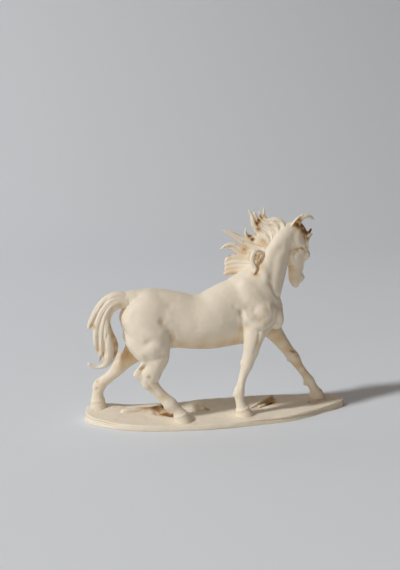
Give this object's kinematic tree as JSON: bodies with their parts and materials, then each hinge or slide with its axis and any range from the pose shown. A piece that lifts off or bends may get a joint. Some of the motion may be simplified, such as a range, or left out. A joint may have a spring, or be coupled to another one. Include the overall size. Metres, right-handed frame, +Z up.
{
  "type": "horse figurine",
  "caption": "Cast figurine of a striding horse with windblown mane and tail, head turned away, on a rough low ground slab.",
  "frame": {"origin": "middle of the plan outline, on the underside of the ground slab", "axes": "+X the way the horse strides, +Y to the horse's left, +Z up"},
  "size_m": [0.2746, 0.0724, 0.2096],
  "materials": {
    "cast_resin": "matt cream cast resin, unpainted"
  },
  "bodies": {
    "root": {"horse_figurine": "cast_resin"}
  },
  "joints": []
}
